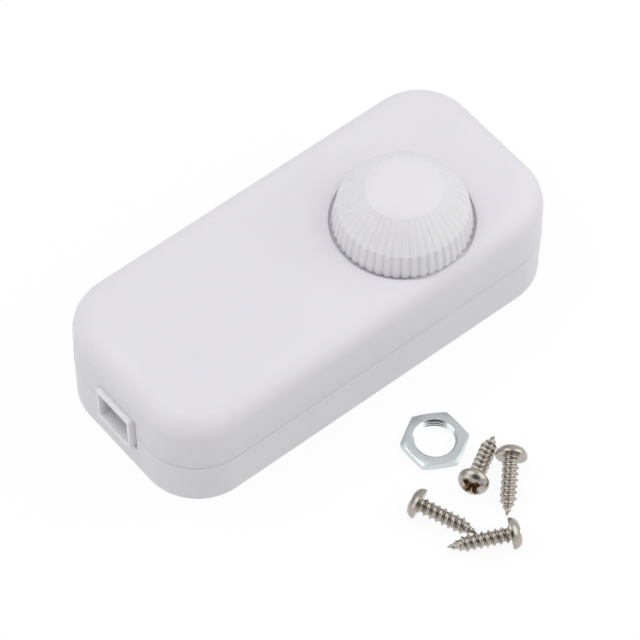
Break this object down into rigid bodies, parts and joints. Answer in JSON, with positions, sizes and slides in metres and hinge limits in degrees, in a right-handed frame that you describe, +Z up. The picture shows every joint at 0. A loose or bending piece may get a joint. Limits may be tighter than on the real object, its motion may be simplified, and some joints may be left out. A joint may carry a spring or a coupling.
{
  "type": "inline cord dimmer",
  "caption": "Inline cord dimmer: rounded plastic case in halves, fluted dome knob off centre in a round well, a cord entry in each end, spare nut and clamp screws beside it.",
  "frame": {"origin": "the middle of the case's underside, on the surface that the dimmer stands on", "axes": "+X along the case towards the end with the knob, +Y towards the long side that is further from the knob, +Z up"},
  "size_m": [0.102, 0.0927, 0.0374],
  "materials": {
    "case_plastic": "satin, moulded, off-white",
    "knob_plastic": "satin, moulded, off-white",
    "screw_steel": "nickel plated, bright",
    "zinc_plate": "zinc plated, bright",
    "shaft_aluminium": "turned or extruded, plain",
    "phenolic": "paper phenolic board, matt",
    "carbon_track": "printed carbon, matt",
    "black_plastic": "moulded, matt",
    "contact_brass": "stamped, bright",
    "terminal_plastic": "moulded, satin",
    "fuse_glass": "clear",
    "film_plastic": "moulded, glossy",
    "timing_plastic": "moulded, glossy",
    "resistor_coat": "lacquered",
    "diac_glass": "lacquered glass bead",
    "core_coat": "painted powder core",
    "winding_copper": "enamelled copper wire"
  },
  "bodies": {
    "case": {"top_cover": "case_plastic", "base_cover": "case_plastic", "cord_collar_in": "case_plastic", "cord_collar_out": "case_plastic", "cord_clamp_in": "case_plastic", "cord_clamp_out": "case_plastic", "case_screws": "screw_steel", "loose_screws": "screw_steel", "pot_nut": "zinc_plate", "loose_nut": "zinc_plate", "pot_washer": "zinc_plate", "pot_bushing": "zinc_plate", "pot_shell": "zinc_plate", "pot_wafer": "phenolic", "pot_track": "carbon_track", "pot_terminals": "zinc_plate", "switch_housing": "black_plastic", "switch_contacts": "contact_brass", "circuit_board": "phenolic", "board_screws": "zinc_plate", "input_terminal_block": "terminal_plastic", "output_terminal_block": "terminal_plastic", "terminal_cages": "contact_brass", "terminal_screws": "zinc_plate", "fuse_tube": "fuse_glass", "fuse_wire": "contact_brass", "fuse_caps": "zinc_plate", "fuse_clips": "contact_brass", "film_capacitor": "film_plastic", "timing_capacitor": "timing_plastic", "resistors": "resistor_coat", "diac": "diac_glass", "choke_core": "core_coat", "choke_winding": "winding_copper", "heat_sink": "shaft_aluminium", "triac_tab": "zinc_plate", "triac_body": "black_plastic", "triac_leads": "zinc_plate", "heat_sink_screw": "zinc_plate", "heat_sink_nut": "zinc_plate"},
    "knob_and_shaft": {"knob": "knob_plastic", "pot_shaft": "shaft_aluminium", "shaft_clip": "zinc_plate", "wiper_carrier": "black_plastic", "wiper": "contact_brass", "switch_rotor": "black_plastic"}
  },
  "joints": [
    {"name": "knob_turn", "type": "hinge", "parent": "case", "child": "knob_and_shaft", "pos_m": [0.0193, -0.0058, 0.0252], "axis": [0, 0, -1], "range_deg": [0, 300]}
  ]
}
